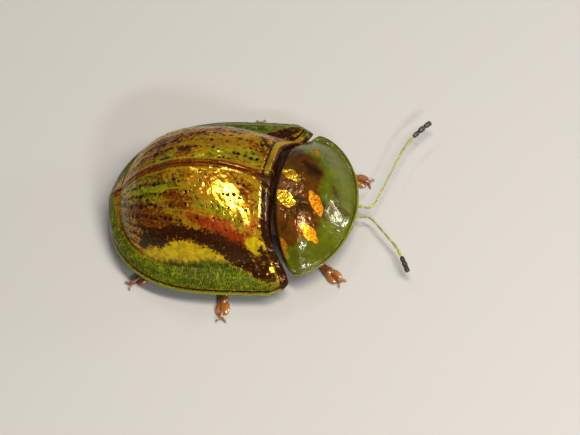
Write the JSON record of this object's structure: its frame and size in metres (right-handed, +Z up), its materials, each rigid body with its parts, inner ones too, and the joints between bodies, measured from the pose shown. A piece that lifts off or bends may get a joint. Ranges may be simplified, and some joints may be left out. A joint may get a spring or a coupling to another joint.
{
  "type": "tortoise beetle",
  "caption": "Life-size tortoise beetle standing on its feet, its domed gold and brown wing cases and see-through pronotum spreading over the body like a shield.",
  "frame": {"origin": "middle of the whole box, on the floor under the feet", "axes": "+X towards the head, +Y towards the beetle's left side, +Z up"},
  "size_m": [0.0074, 0.0056, 0.0025],
  "materials": {
    "wing_case": "gloss",
    "pronotum": "gloss",
    "scutellum": "gloss",
    "underside": "satin",
    "head": "satin",
    "eye": "gloss",
    "antenna": "satin",
    "leg": "satin"
  },
  "bodies": {
    "root": {"wing_case_left": "wing_case", "wing_case_right": "wing_case", "scutellum": "scutellum", "pronotum": "pronotum", "prothorax": "underside", "thorax": "underside", "abdomen": "underside", "head": "head", "mouthparts": "head", "eye_left": "eye", "eye_right": "eye", "antenna_left": "antenna", "antenna_right": "antenna", "front_femur_left": "leg", "front_femur_right": "leg", "front_tibia_left": "leg", "front_tibia_right": "leg", "front_tarsus_left": "leg", "front_tarsus_right": "leg", "middle_femur_left": "leg", "middle_femur_right": "leg", "middle_tibia_left": "leg", "middle_tibia_right": "leg", "middle_tarsus_left": "leg", "middle_tarsus_right": "leg", "hind_femur_left": "leg", "hind_femur_right": "leg", "hind_tibia_left": "leg", "hind_tibia_right": "leg", "hind_tarsus_left": "leg", "hind_tarsus_right": "leg"}
  },
  "joints": []
}
